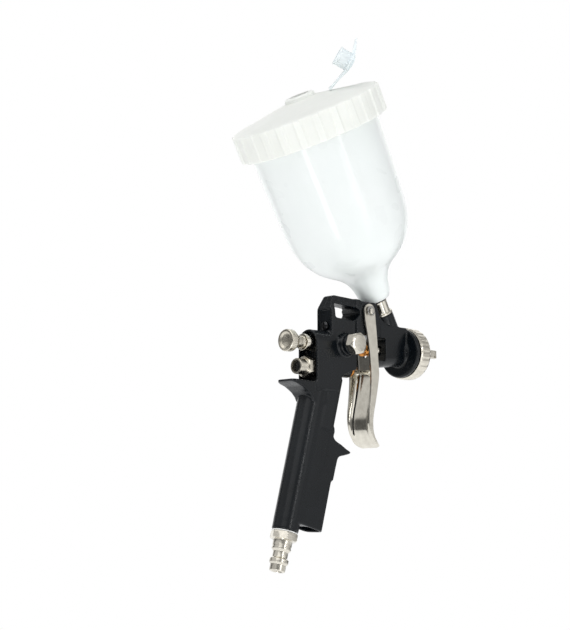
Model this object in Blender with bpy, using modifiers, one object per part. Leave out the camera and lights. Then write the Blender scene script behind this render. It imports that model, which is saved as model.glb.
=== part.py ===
"""Gravity-feed air spray gun: moulded body, plated fittings, plastic paint cup with a screw lid.

Frame: the row origin is the underside of the hanging loop's top bar, where a hook carries the gun.
+X is the spray direction, +Z is up, and the gun is symmetric about the XZ plane apart from the
pattern valve on the -Y side.  Sizes below are in millimetres in the gun frame, whose origin is on the
spray axis; the empty "gun_frame" carries that frame.
"""
import bpy
import bmesh
import math
from mathutils import Matrix, Vector

MM = 0.001
GAP = 0.3                       # clearance between touching solids
HOOK = (-30.0, 0.0, 28.0)       # hook contact under the loop's top bar
CUP_TILT = 30.0                 # cup axis leans to the rear, degrees from vertical
CUP_X = 28.4                    # where the cup axis meets the spray axis
GRIP_TILT = 15.5                # handle leans so that its foot is to the rear
GRIP_FOOT = (-79.5, -121.1)     # x, z of the air inlet's mouth
VALVE_Z = -16.0                 # height of the air valve axis
PIVOT = (-10.0, 24.4)           # x, z of the trigger pin
SIDE_X = -32.0                  # pattern valve axis along Y
ARM_IN, ARM_OUT = 9.0, 10.3     # trigger arm faces
DISC_R = 17.1
FACETS = 0.72                   # share of the nominal facet count that turned shapes are made with

for old in list(bpy.data.objects):
    bpy.data.objects.remove(old, do_unlink=True)

parts = bpy.data.collections.new("spray_gun")
guides = bpy.data.collections.new("cutters")
for coll in (parts, guides):
    bpy.context.scene.collection.children.link(coll)


# ---------------------------------------------------------------- materials
def material(name, rgb, rough, metal=0.0, alpha=1.0):
    mat = bpy.data.materials.new(name)
    mat.use_nodes = True
    bsdf = mat.node_tree.nodes["Principled BSDF"]
    bsdf.inputs["Base Color"].default_value = (*rgb, 1.0)
    bsdf.inputs["Roughness"].default_value = rough
    bsdf.inputs["Metallic"].default_value = metal
    bsdf.inputs["Alpha"].default_value = alpha
    return mat


BLACK = material("black_nylon", (0.022, 0.026, 0.03), 0.42)
NICKEL = material("nickel_plate", (0.62, 0.59, 0.52), 0.18, 1.0)
STEEL = material("pressed_steel", (0.55, 0.53, 0.47), 0.3, 1.0)
BRASS = material("brass", (0.45, 0.24, 0.08), 0.35, 1.0)
SPRING = material("spring_steel", (0.35, 0.35, 0.36), 0.35, 1.0)
MILK = material("milky_polythene", (0.86, 0.9, 0.9), 0.4, 0.0, 0.75)
WHITE = material("white_polythene", (0.87, 0.88, 0.84), 0.45)
RUBBER = material("black_rubber", (0.015, 0.015, 0.015), 0.7)
PTFE = material("ptfe", (0.8, 0.8, 0.78), 0.5)


# ---------------------------------------------------------------- frames
def empty(name, loc, rot=(0, 0, 0), parent=None):
    obj = bpy.data.objects.new(name, None)
    parts.objects.link(obj)
    obj.parent = parent
    obj.location = [c * MM for c in loc]
    obj.rotation_euler = [math.radians(a) for a in rot]
    return obj


GUN = empty("gun_frame", [-c for c in HOOK])
SPRAY = empty("spray_axis", (0, 0, 0), (0, 90, 0), GUN)             # local Z along +X
VALVE = empty("air_valve_axis", (0, 0, VALVE_Z), (0, 90, 0), GUN)
CUPAX = empty("cup_axis", (CUP_X, 0, 0), (0, -CUP_TILT, 0), GUN)
GRIP = empty("grip_axis", (GRIP_FOOT[0], 0, GRIP_FOOT[1]), (0, GRIP_TILT, 0), GUN)
SIDE = empty("pattern_axis", (SIDE_X, 0, 0), (90, 0, 0), GUN)       # local Z along -Y
TRIG = empty("trigger_axis", (PIVOT[0], 0, PIVOT[1]), (90, 0, 0), GUN)


# ---------------------------------------------------------------- shape helpers
def place(obj, parent, loc=(0, 0, 0), rot=(0, 0, 0), mat=None, coll=parts):
    if obj.name not in coll.objects:
        coll.objects.link(obj)
    obj.parent = parent
    obj.location = [c * MM for c in loc]
    obj.rotation_euler = [math.radians(a) for a in rot]
    if mat:
        obj.data.materials.clear()
        obj.data.materials.append(mat)
    if coll is guides:
        obj.hide_render = True
        obj.display_type = 'WIRE'
    return obj


def turned(name, profile, parent, mat=None, steps=32, z=0.0, coll=parts, ring=False):
    """Profile of (radius, height) run down the outer side; a ring profile closes on itself."""
    mesh = bpy.data.meshes.new(name)
    verts = [(r * MM, 0, h * MM) for r, h in profile]
    edges = [(i, i + 1) for i in range(len(verts) - 1)]
    if ring:
        edges.append((len(verts) - 1, 0))
    mesh.from_pydata(verts, edges, [])
    obj = bpy.data.objects.new(name, mesh)
    spin = 3.7 if coll is guides else 0.0           # keeps a cutter's facets off the facets it meets
    place(obj, parent, (0, 0, z), (0, 0, spin), mat, coll)
    mod = obj.modifiers.new("turn", 'SCREW')
    mod.axis = 'Z'
    mod.steps = mod.render_steps = round(steps * FACETS)
    mod.use_merge_vertices = True
    mod.merge_threshold = 0.00001
    mod.use_smooth_shade = True
    return obj


def rod(name, r, z0, z1, parent, mat=None, steps=32, coll=parts):
    return turned(name, [(0, z1), (r, z1), (r, z0), (0, z0)], parent, mat, steps, coll=coll)


def tube(name, r_out, r_in, z0, z1, parent, mat=None, steps=32, coll=parts):
    return turned(name, [(r_out, z1), (r_out, z0), (r_in, z0), (r_in, z1)], parent, mat, steps,
                  coll=coll, ring=True)


def hexagon(name, flats, z0, z1, parent, mat=None, coll=parts, turn=0.0, chamfer=0.0):
    mesh = bpy.data.meshes.new(name)
    bm = bmesh.new()
    r = flats / math.sqrt(3) * MM
    bmesh.ops.create_cone(bm, cap_ends=True, segments=6, radius1=r, radius2=r, depth=(z1 - z0) * MM)
    bmesh.ops.rotate(bm, verts=bm.verts, matrix=Matrix.Rotation(math.radians(turn), 3, 'Z'))
    bmesh.ops.translate(bm, verts=bm.verts, vec=(0, 0, (z0 + z1) / 2 * MM))
    bm.to_mesh(mesh)
    bm.free()
    obj = place(bpy.data.objects.new(name, mesh), parent, mat=mat, coll=coll)
    if chamfer:
        bevel(obj, chamfer, 1, 50)
    return obj


def box(name, lo, hi, parent, mat=None, coll=guides, rot=(0, 0, 0), loc=(0, 0, 0)):
    mesh = bpy.data.meshes.new(name)
    bm = bmesh.new()
    bmesh.ops.create_cube(bm, size=1.0)
    for v in bm.verts:
        v.co = Vector([(lo[i] + (v.co[i] + 0.5) * (hi[i] - lo[i])) * MM for i in range(3)])
    bm.to_mesh(mesh)
    bm.free()
    return place(bpy.data.objects.new(name, mesh), parent, loc, rot, mat, coll)


def bevel(obj, width, segments=2, angle=40):
    mod = obj.modifiers.new("round", 'BEVEL')
    mod.width = width * MM
    mod.segments = segments
    mod.limit_method = 'ANGLE'
    mod.angle_limit = math.radians(angle)
    return mod


def plate(name, loops, half, parent, mat=None, coll=guides, loc=(0, 0, 0), rot=(90, 0, 0), edge=0.0):
    """Flat outline of (x, z) points, extruded both ways along Y by half; later loops are holes."""
    curve = bpy.data.curves.new(name + "_outline", 'CURVE')
    curve.dimensions = '2D'
    curve.fill_mode = 'BOTH'
    curve.extrude = half * MM
    for pts in loops:
        sp = curve.splines.new('POLY')
        sp.points.add(len(pts) - 1)
        for p, (x, z) in zip(sp.points, pts):
            p.co = (x * MM, z * MM, 0, 1)
        sp.use_cyclic_u = True
    src = bpy.data.objects.new(name + "_outline", curve)
    guides.objects.link(src)
    obj = solid_from(src, name)
    place(obj, parent, loc, rot, mat, coll)
    if edge:
        bevel(obj, edge, 2, 50)
    return obj


def solid_from(src, name):
    """Mesh from a curve object, with its loose caps welded."""
    bpy.context.view_layer.update()
    deps = bpy.context.evaluated_depsgraph_get()
    mesh = bpy.data.meshes.new_from_object(src.evaluated_get(deps))
    bm = bmesh.new()
    bm.from_mesh(mesh)
    bmesh.ops.remove_doubles(bm, verts=bm.verts, dist=0.000002)
    bmesh.ops.recalc_face_normals(bm, faces=bm.faces)
    bm.to_mesh(mesh)
    bm.free()
    mesh.name = name
    obj = bpy.data.objects.new(name, mesh)
    obj.matrix_world = src.matrix_world
    bpy.data.objects.remove(src, do_unlink=True)
    return obj


def combine(obj, tools, operation='DIFFERENCE'):
    for tool in tools:
        mod = obj.modifiers.new(tool.name[:50], 'BOOLEAN')
        mod.operation = operation
        mod.solver = 'EXACT'
        mod.object = tool
    return obj


def weld(obj, dist=0.02):
    mod = obj.modifiers.new("weld", 'WELD')
    mod.merge_threshold = dist * MM
    return obj


def arc(cx, cz, r, a0, a1, n):
    return [(cx + r * math.cos(math.radians(a0 + (a1 - a0) * i / n)),
             cz + r * math.sin(math.radians(a0 + (a1 - a0) * i / n))) for i in range(n + 1)]


def rounded(points, radii, n=4):
    """Closed outline with its corners rounded; radii is one number or one per corner."""
    out = []
    count = len(points)
    for i, p in enumerate(points):
        r = radii[i] if isinstance(radii, (list, tuple)) else radii
        if r <= 0:
            out.append(p)
            continue
        p = Vector(p)
        a = (Vector(points[i - 1]) - p).normalized()
        b = (Vector(points[(i + 1) % count]) - p).normalized()
        half = a.angle(b) / 2
        cut = r / math.tan(half)
        centre = p + (a + b).normalized() * (r / math.sin(half))
        s, e = p + a * cut - centre, p + b * cut - centre
        sweep = math.atan2(s.x * e.y - s.y * e.x, s.dot(e))
        for k in range(n + 1):
            c, d = math.cos(sweep * k / n), math.sin(sweep * k / n)
            out.append((centre.x + s.x * c - s.y * d, centre.y + s.x * d + s.y * c))
    return out


def coil(name, radius, wire, z0, z1, turns, parent, mat):
    """Compression spring along the parent's Z, as a polyline tube."""
    curve = bpy.data.curves.new(name + "_path", 'CURVE')
    curve.dimensions = '3D'
    curve.bevel_depth = wire * MM
    curve.bevel_resolution = 2
    curve.use_fill_caps = True
    sp = curve.splines.new('POLY')
    per = 9
    count = int(turns * per) + 1
    sp.points.add(count - 1)
    for i, p in enumerate(sp.points):
        t = i / (count - 1)
        a = 2 * math.pi * turns * t
        h = z0 + wire + (z1 - z0 - 2 * wire) * t
        p.co = (radius * MM * math.cos(a), radius * MM * math.sin(a), h * MM, 1)
    src = bpy.data.objects.new(name + "_path", curve)
    guides.objects.link(src)
    return place(solid_from(src, name), parent, mat=mat)


def along_grip(u, v):
    """x, z in the gun frame of a point u up the handle axis and v ahead of it."""
    s, c = math.sin(math.radians(GRIP_TILT)), math.cos(math.radians(GRIP_TILT))
    return (GRIP_FOOT[0] + u * s + v * c, GRIP_FOOT[1] + u * c - v * s)


# ---------------------------------------------------------------- body
HALF = 8.6                      # half width of the handle and of the rear block


def grip_section(front, corner, inset=0.0):
    """Handle cross-section: half-round rear about the air passage, rounded front corners."""
    r = HALF - inset
    f = front - inset
    pts = arc(0, 0, r, 90, 270, 12)
    return pts + arc(f - corner, -(r - corner), corner, -90, 0, 5) + arc(f - corner, r - corner, corner, 0, 90, 5)


def grip_prism(name, front, u0, u1, inset=0.0, coll=guides, mat=None):
    # outline in the grip's x, y plane, extruded along the grip axis
    return plate(name, [grip_section(front, 4.6, inset)], (u1 - u0) / 2, GRIP, mat, coll,
                 (0, 0, (u0 + u1) / 2), (0, 0, 0))


body = grip_prism("gun_body", 19.6, 40.0, 96.0, 0.0, parts, BLACK)
lower = grip_prism("grip_lower", 26.5, 6.0, 46.5, -0.12)
bevel(lower, 0.6, 1, 60)
air_tube = rod("air_tube", 8.45, 0.0, 20.0, GRIP, coll=guides, steps=36)

hook_line = [along_grip(72.0, 14.0), along_grip(71.0, 19.3), (-42.9, -61.2), (-40.9, -63.6), (-35.9, -65.4),
             (-30.9, -68.4), (-27.3, -70.1), (-26.6, -70.9), (-27.7, -71.6), (-33.1, -72.8), (-37.6, -73.6),
             (-39.6, -75.8), along_grip(44.0, 26.2), along_grip(40.0, 24.0), along_grip(44.0, 12.0)]
neck_line = [(6.0, 8.45)] + arc(14.9, 4.05, 4.4, 90, 0, 5) + arc(14.9, -4.05, 4.4, 0, -90, 5) + [(6.0, -8.45)]
neck = plate("grip_neck", [neck_line], 8.5, GRIP, loc=(0, 0, 98.5), rot=(0, 0, 0))
hook = plate("finger_hook", [hook_line], 7.9, GUN, edge=1.1)

tail_line = [(-79.4, -24.9), (-70.0, -25.2), (-57.0, -25.6), (-50.0, -25.6), (-50.0, -40.0),
             (-61.8, -38.0), (-63.0, -35.6), (-66.4, -32.4), (-72.0, -29.2), (-78.0, -27.2), (-80.2, -26.2)]
tail = plate("thumb_rest", [tail_line], 7.9, GUN, edge=0.5)

BLOCK = HALF + 0.25             # half width of the rear block
arch = [(-BLOCK, -28.0), (BLOCK, -28.0)] + arc(0, 0, BLOCK, 0, 180, 14)
rear = plate("rear_block", [arch], 19.0, GUN, loc=(-40.0, 0, 0), rot=(90, 0, 90))
plate_cut = plate("block_under_cut", [[(-35.2, -20.9), (-20.0, -14.9), (-20.0, -60.0), (-46.0, -60.0)]], 20.0, GUN)
combine(rear, [plate_cut])

loop_out = rounded([(-43.5, 2.0), (-43.5, 24.6), (-39.3, 33.2), (-15.0, 32.2), (-9.5, 27.0), (-6.0, 12.0), (-22.0, 4.4)],
                   [0, 2.0, 2.2, 2.6, 1.0, 0, 0])
window = rounded([(-40.2, 27.4), (-19.4, 26.6), (-16.6, 22.6), (-21.8, 17.2), (-39.4, 18.0)],
                 [1.3, 2.4, 2.4, 1.8, 1.8])
loop = plate("hanging_loop", [loop_out, window], 6.9, GUN)
# the loop narrows towards its top
for side in (-1, 1):
    wedge = [(side * 7.0, 22.5), (side * 12.0, 22.5), (side * 12.0, 36.0), (side * 4.4, 36.0), (side * 4.4, 33.3)]
    combine(loop, [plate("loop_taper", [wedge], 15.0, GUN, loc=(-35.0, 0, 0), rot=(90, 0, 90))])

pivot_line = rounded([(-21.0, 8.2), (-21.0, 20.0), (-15.5, 31.0), (-1.5, 31.2), (2.4, 22.0), (2.4, 8.2)],
                     [0, 3, 2.5, 1.0, 0, 0])
pivot_block = plate("pivot_block", [pivot_line], HALF - 0.1, GUN)

head_w = 7.7
head_sec = arc(0, -4.0, head_w, 180, 360, 14) + [(head_w, 17.0), (-head_w, 17.0)]
head = plate("head_block", [head_sec], 15.5, GUN, loc=(15.3, 0, 0), rot=(90, 0, 90))
bridge = plate("head_bridge", [[(-6.0, 8.7), (-6.0, 22.0), (3.0, 23.2), (6.6, 20.0), (22.0, 12.0), (22.0, 8.7)]], 7.5, GUN)
boss = rod("cup_boss", 7.45, 8.0, 29.2, CUPAX, coll=guides, steps=36)
nose = rod("stem_nose", 4.7, -38.0, -20.6, VALVE, coll=guides, steps=28)
flange = turned("front_flange", [(0, 34.0), (8.2, 34.0), (8.2, 31.8), (13.6, 31.8), (13.6, 34.0), (DISC_R, 34.0), (DISC_R, 31.2), (16.4, 30.4),
                                 (0, 30.4)], SPRAY, steps=40, coll=guides)
side_boss = rod("pattern_boss", 7.4, 2.0, 12.4, SIDE, coll=guides, steps=32)
combine(body, [lower, air_tube, neck, hook, tail, rear, loop, pivot_block, head, bridge, boss, flange, side_boss, nose],
        'UNION')

SCREWAX = empty("screw_axis", (0, 0, 12.3), (0, 90, 0), GUN)
cuts = [
    # open front pocket of the handle, from below
    plate("grip_pocket", [rounded([(11.2, -6.8), (24.6, -6.8), (24.6, 6.8), (11.2, 6.8)], 2.6)], 17.0, GRIP,
          loc=(0, 0, 12.0), rot=(0, 0, 0)),
    # rear pocket around the two adjusters
    plate("rear_pocket", [[(-7.6, -25.2), (7.6, -25.2)] + arc(0, 0, 7.6, 0, 180, 12)], 4.5, GUN, loc=(-57.5, 0, 0),
          rot=(90, 0, 90)),
    # shallow recess in the loop's rear post
    box("loop_recess", (-50.0, -5.4, 8.9), (-42.2, 5.4, 23.0), GUN),
    # rear notch that gives access to the needle packing
    box("head_notch", (-6.0, -20, -7.6), (8.6, 20, 8.0), GUN),
    turned("needle_bore", [(0, -19.0), (2.3, -19.0), (2.3, -28.4), (4.8, -28.4), (4.8, -61.0), (0, -61.0)], SPRAY,
           coll=guides, steps=28),
    turned("fluid_bore", [(0, 40.0), (5.2, 40.0), (5.2, 25.4), (2.7, 25.4), (2.7, 16.7), (3.5, 16.7), (3.5, 6.0),
                          (0, 6.0)], SPRAY, coll=guides, steps=28),
    turned("cup_bore", [(0, 34.0), (5.4, 34.0), (5.4, 15.3), (3.1, 15.3), (3.1, 1.5), (0, 1.5)], CUPAX, coll=guides,
           steps=30),
    turned("air_valve_bore", [(0, -14.0), (3.4, -14.0), (3.4, -25.0), (2.0, -25.0), (2.0, -34.6), (5.4, -34.6),
                              (5.4, -61.0), (0, -61.0)], VALVE, coll=guides, steps=28),
    turned("air_passage", [(0, 97.0), (3.6, 97.0), (3.6, 18.6), (6.2, 18.6), (6.2, -3.0), (0, -3.0)], GRIP,
           coll=guides, steps=30),
    rod("pattern_bore", 4.4, 4.0, 16.0, SIDE, coll=guides, steps=28),
    rod("pivot_bore", 2.1, -12.0, 12.0, TRIG, coll=guides, steps=22),
    rod("loop_screw_bore", 2.3, -46.0, -30.4, SCREWAX, coll=guides, steps=22),
]
combine(body, cuts)
weld(body)

# ---------------------------------------------------------------- air inlet
plug = turned("inlet_plug", [
    (0, 13.0), (5.9, 13.0), (5.9, -1.2), (7.9, -1.2), (7.9, -5.6), (6.1, -6.4), (6.1, -12.0), (4.8, -13.4),
    (4.8, -17.2), (6.0, -18.2), (6.0, -20.4), (5.0, -21.6), (5.0, -25.3), (4.5, -25.9), (0, -25.9)], GRIP, NICKEL, 28)
combine(plug, [
    rod("plug_bore", 3.2, -40.0, 20.0, GRIP, coll=guides, steps=24),
])
hexcut = hexagon("plug_hex", 15.6, -7.0, -0.2, GRIP, coll=guides)
outer = tube("plug_hex_cut", 12.0, 6.02, -5.9, -0.4, GRIP, coll=guides)
combine(outer, [hexcut])
combine(plug, [outer])
inlet_seal = tube("inlet_seal", 8.4, 6.5, -0.95, -0.3, GRIP, PTFE, 32)

# ---------------------------------------------------------------- trigger
# side outline in the gun frame, x then z, from the top of the arm
def trig(points):
    return [(x - PIVOT[0], z - PIVOT[1]) for x, z in points]


arm_front = [(-4.9, 24.4), (-4.4, 19.0), (-3.6, 12.0), (-2.8, 4.0), (-2.2, -5.5), (-1.5, -14.0), (-1.3, -18.4),
             (-2.8, -27.0), (-4.9, -36.5), (-6.8, -44.0), (-7.6, -50.0), (-7.2, -55.5), (-5.6, -60.0),
             (-3.0, -63.2), (0.4, -65.6)]
arm_rear = [(-0.35, -66.7), (-2.7, -65.2), (-4.9, -63.1), (-7.3, -59.8), (-9.5, -56.0), (-11.0, -50.0), (-11.0, -43.0),
            (-10.0, -35.0), (-9.2, -26.5), (-8.9, -18.0), (-9.6, -8.0), (-11.0, 2.0), (-12.8, 11.0), (-14.4, 18.0),
            (-15.1, 24.4)]
top = arc(PIVOT[0], PIVOT[1], 5.1, 172, 8, 8)
blade_line = trig(arm_front + arm_rear + top)
trigger = plate("trigger", [blade_line], ARM_OUT, TRIG, STEEL, parts, rot=(0, 0, 0), edge=0.9)


def inner_line(depth):
    """Hollow behind the web: the front outline moved back by the sheet's thickness."""
    line = []
    for i, (x, z) in enumerate(arm_front):
        before, after = arm_front[max(i - 1, 0)], arm_front[min(i + 1, len(arm_front) - 1)]
        along = (Vector(after) - Vector(before)).normalized()
        line.append((x + along.y * depth, z - along.x * depth))
    line += [(line[-1][0] + 3.0, line[-1][1] - 2.1), (-30.0, -69.0), (-30.0, 40.0), (line[0][0], 40.0)]
    return trig(line)


hollow = plate("trigger_hollow", [inner_line(1.3)], ARM_IN, TRIG, rot=(0, 0, 0))
above = box("trigger_above", (-20, 6.4, -ARM_IN), (30, 40.0, ARM_IN), TRIG, loc=(0, -PIVOT[1], 0))
slot = box("needle_slot", (-20, -4.2, -2.0), (30, 8.0, 2.0), TRIG, loc=(-PIVOT[0], -PIVOT[1], 0))
keyhole = rod("needle_keyhole", 2.0, -10.0, 10.0, empty("keyhole_axis", (0, 0, -4.2), (0, 90, 0), GUN),
              coll=guides, steps=20)
pin_hole = rod("trigger_pin_hole", 2.15, -12.0, 12.0, TRIG, coll=guides, steps=24)
combine(trigger, [hollow, above, slot, keyhole, pin_hole])

pin = turned("trigger_pin", [(0, 12.9), (1.5, 12.9), (1.95, 12.5), (1.95, 11.95), (1.5, 11.95), (1.5, 10.85), (1.95, 10.85),
                             (1.95, -10.7), (3.4, -10.7), (3.4, -12.0), (2.6, -12.6), (0, -12.6)], TRIG, NICKEL, 24)
clip_outer = [(3.5 * math.cos(math.radians(a)), 3.5 * math.sin(math.radians(a))) for a in range(-60, 241, 20)]
clip_inner = [(1.72 * math.cos(math.radians(a)), 1.72 * math.sin(math.radians(a))) for a in range(230, -51, -20)]
clip = plate("trigger_clip", [clip_outer + clip_inner], 0.3, TRIG, SPRING, parts, loc=(0, 0, 11.4), rot=(0, 0, 0))

# ---------------------------------------------------------------- fluid needle train
needle = turned("fluid_needle", [(0, 46.2), (0.35, 45.8), (1.55, 38.0), (1.55, -14.1), (1.9, -14.4), (1.9, -33.2),
                                 (2.9, -33.2), (2.9, -35.0), (1.6, -35.0), (1.6, -45.0), (0, -45.0)], SPRAY, NICKEL, 24)
collar = turned("needle_collar", [(5.0, -4.8), (5.0, -7.0), (3.8, -7.6), (3.8, -13.7), (1.8, -13.7), (1.8, -4.8)], SPRAY, BRASS, 28, ring=True)
packing = tube("needle_packing", 3.2, 1.85, 11.6, 16.4, SPRAY, PTFE, 24)
nut = turned("packing_nut", [(1.9, 11.2), (3.2, 11.2), (3.2, 7.6), (3.1, 6.6), (2.6, 5.8), (1.9, 5.6)], SPRAY, NICKEL, 24,
             ring=True)
spring = coil("needle_spring", 3.5, 0.45, -52.4, -35.3, 5, SPRAY, SPRING)
bushing = tube("knob_bushing", 5.45, 4.55, -64.0, -53.2, SPRAY, NICKEL, 32)
seat = turned("spring_seat", [(0, -52.8), (4.0, -52.8), (4.0, -54.4), (2.4, -54.4), (2.4, -57.0), (0, -57.0)], SPRAY,
              BRASS, 24)
knob = turned("fluid_knob", [
    (0, -57.4), (4.2, -57.4), (4.2, -70.4), (5.0, -71.8), (6.6, -73.4), (7.2, -74.4), (7.2, -78.6), (6.7, -79.1),
    (4.2, -78.2), (1.6, -77.7), (0, -77.6)], SPRAY, NICKEL, 32)

# ---------------------------------------------------------------- nozzle and air cap
nozzle = turned("fluid_nozzle", [(0.75, 46.6), (1.5, 46.6), (2.6, 42.0), (4.6, 41.2), (7.4, 41.2), (7.4, 38.0), (4.9, 38.0),
                                 (4.9, 26.2), (2.0, 26.2), (2.0, 37.5), (1.95, 40.0), (0.75, 45.4)], SPRAY, NICKEL, 32,
                ring=True)
baffle = tube("air_baffle", 13.4, 8.4, 31.95, 35.8, SPRAY, BRASS, 36)
ring = turned("air_cap_ring", [(12.95, 44.6), (17.0, 44.6), (18.0, 43.6), (18.0, 35.4), (17.4, 34.5), (14.0, 34.5),
                               (14.0, 42.4), (12.95, 43.4)], SPRAY, NICKEL, 40, ring=True)
flutes = [rod(f"ring_flute_{k}", 0.9, 33.0, 46.0, empty(f"flute_axis_{k}", (18.4 * math.cos(k * math.pi / 10),
              18.4 * math.sin(k * math.pi / 10), 0), (0, 0, 0), SPRAY), coll=guides, steps=8) for k in range(20)]
combine(ring, flutes)
cap = turned("air_cap", [(1.9, 47.4), (9.0, 47.0), (12.0, 46.0), (12.6, 44.8), (12.6, 42.9), (13.5, 42.0), (13.5, 36.8), (9.0, 36.8),
                         (9.0, 43.0), (5.0, 44.0), (1.9, 45.6)], SPRAY, BRASS, 36, ring=True)
horns = []
for side in (-1, 1):
    line = rounded([(43.5, side * 6.2), (43.5, side * 12.4), (52.5, side * 12.9), (56.6, side * 12.6),
                    (56.6, side * 10.8), (50.0, side * 7.2)], [0, 0, 0, 1.0, 1.0, 0], 3)
    horns.append(plate(f"cap_horn_{side}", [line], 2.6, GUN, rot=(0, 0, 0)))
combine(cap, horns, 'UNION')
horn_holes = [rod(f"horn_hole_{s}", 0.8, -6.0, 6.0, empty(f"horn_hole_axis_{s}", (54.3, s * 10.0, 0), (s * 55, 0, 0), GUN),
                  coll=guides, steps=12) for s in (-1, 1)]
combine(cap, horn_holes)

# ---------------------------------------------------------------- air valve
valve_cap = turned("air_valve_cap", [(0, -50.2), (5.1, -50.2), (5.1, -57.6), (7.4, -57.6), (7.4, -62.0), (5.5, -64.0),
                                     (5.3, -69.2), (4.9, -69.6), (0, -69.6)], VALVE, NICKEL, 28)
cap_hex = hexagon("valve_cap_hex", 12.8, -63.0, -57.4, VALVE, coll=guides, turn=0)
cap_ring = tube("valve_cap_flats", 12.0, 5.55, -62.9, -57.5, VALVE, coll=guides)
combine(cap_ring, [cap_hex])
combine(valve_cap, [cap_ring, rod("valve_cap_well", 4.2, -58.6, -48.0, VALVE, coll=guides, steps=24)])
air_spring = coil("air_valve_spring", 3.3, 0.4, -58.3, -43.9, 5, VALVE, SPRING)
poppet = turned("air_valve_poppet", [(0, -38.6), (2.6, -38.6), (3.9, -40.6), (3.9, -42.0), (4.0, -42.0), (4.0, -43.6),
                                     (1.6, -43.6), (1.6, -48.0), (0, -48.0)], VALVE, BRASS, 28)
valve_seat = tube("air_valve_seat", 5.1, 3.0, -38.2, -36.4, VALVE, RUBBER, 28)
gland = turned("air_valve_gland", [(1.75, -18.4), (3.8, -18.4), (3.8, -20.2), (3.1, -20.2), (3.1, -24.6), (1.75, -24.6)],
               VALVE, BRASS, 24, ring=True)
stem = turned("air_valve_stem", [(0, -3.2), (1.2, -3.2), (1.5, -3.6), (1.5, -38.2), (0, -38.2)], VALVE, STEEL, 20)

# ---------------------------------------------------------------- pattern valve
bush = tube("pattern_collar", 7.3, 4.7, 12.7, 15.4, SIDE, BLACK, 32)
pattern = turned("pattern_valve", [(0, 21.8), (5.6, 21.8), (6.8, 20.8), (7.7, 20.4), (7.7, 15.8), (4.2, 15.8), (4.2, 6.0),
                                   (2.6, 4.6), (0, 4.6)], SIDE, NICKEL, 36)
pat_hex = hexagon("pattern_hex", 13.4, 15.0, 23.0, SIDE, coll=guides, turn=12)
pat_ring = tube("pattern_flats", 12.0, 4.3, 15.7, 24.0, SIDE, coll=guides)
combine(pat_ring, [pat_hex])
combine(pattern, [pat_ring])

# ---------------------------------------------------------------- cup
adapter = turned("cup_adapter", [(3.4, 51.0), (5.2, 51.0), (5.2, 39.6), (6.5, 39.4), (6.5, 30.9), (7.7, 30.7), (7.7, 29.5),
                                 (5.1, 29.5), (5.1, 15.6), (3.4, 15.6)], CUPAX, NICKEL, 32, ring=True)
combine(adapter, [box(f"adapter_flat_{k}", (5.75, -12, 31.6), (12, 12, 38.6), CUPAX, rot=(0, 0, 90.0 * k + 45))
                  for k in range(4)])
gasket = tube("cup_gasket", 7.1, 5.5, 39.75, 40.3, CUPAX, RUBBER, 32)

cup_out = [(44.6, 175.4), (44.6, 161.0), (43.9, 134.0), (42.9, 104.0), (41.6, 94.0), (39.6, 86.6), (36.4, 79.4),
           (31.6, 73.0), (25.6, 67.6), (19.6, 63.4), (15.4, 58.4), (13.0, 53.4), (12.1, 49.4), (11.6, 45.4), (9.6, 42.4),
           (8.0, 40.6)]
cup_in = [(5.5, 40.6), (5.5, 55.0), (8.6, 58.6), (12.0, 62.6), (17.8, 66.2), (23.8, 70.0), (29.8, 75.2), (34.2, 81.2),
          (37.4, 88.0), (39.4, 95.4), (40.6, 104.6), (41.8, 134.0), (42.6, 161.0), (42.6, 175.4)]
cup = turned("cup", cup_out + cup_in, CUPAX, MILK, 48, ring=True)
strainer = turned("paint_strainer", [(4.7, 78.0), (4.7, 51.6), (3.9, 51.6), (3.9, 76.8), (3.2, 78.0)], CUPAX, WHITE, 20,
                  ring=True)

# ---------------------------------------------------------------- lid, with a ribbed skirt
LID_R, RIBS = 52.0, 26
lid = turned("lid", [
    (0, 190.6), (9.4, 190.2), (10.4, 189.4), (10.7, 187.3), (24.0, 185.0), (40.0, 182.0), (47.0, 180.9), (49.6, 180.4),
    (50.9, 179.6), (51.0, 161.4), (45.2, 161.4), (45.2, 177.4), (40.0, 178.4), (24.0, 181.4), (0, 184.0)],
    CUPAX, WHITE, 52)
grooves = []
for k in range(RIBS):
    a = 2 * math.pi * (k + 0.5) / RIBS
    rib = box(f"lid_rib_{k}", (-3.4, -1.6, 161.4), (0.9, 1.6, 179.2), CUPAX, loc=(51.0 * math.cos(a), 51.0 * math.sin(a), 0),
              rot=(0, 0, math.degrees(a)))
    grooves.append(rib)
combine(lid, grooves, 'UNION')
vent_hole = rod("vent_hole", 6.9, 175.0, 200.0, CUPAX, coll=guides, steps=32)
combine(lid, [vent_hole])
lid_seal = tube("lid_seal", 44.4, 41.4, 175.75, 177.0, CUPAX, WHITE, 40)

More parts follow.
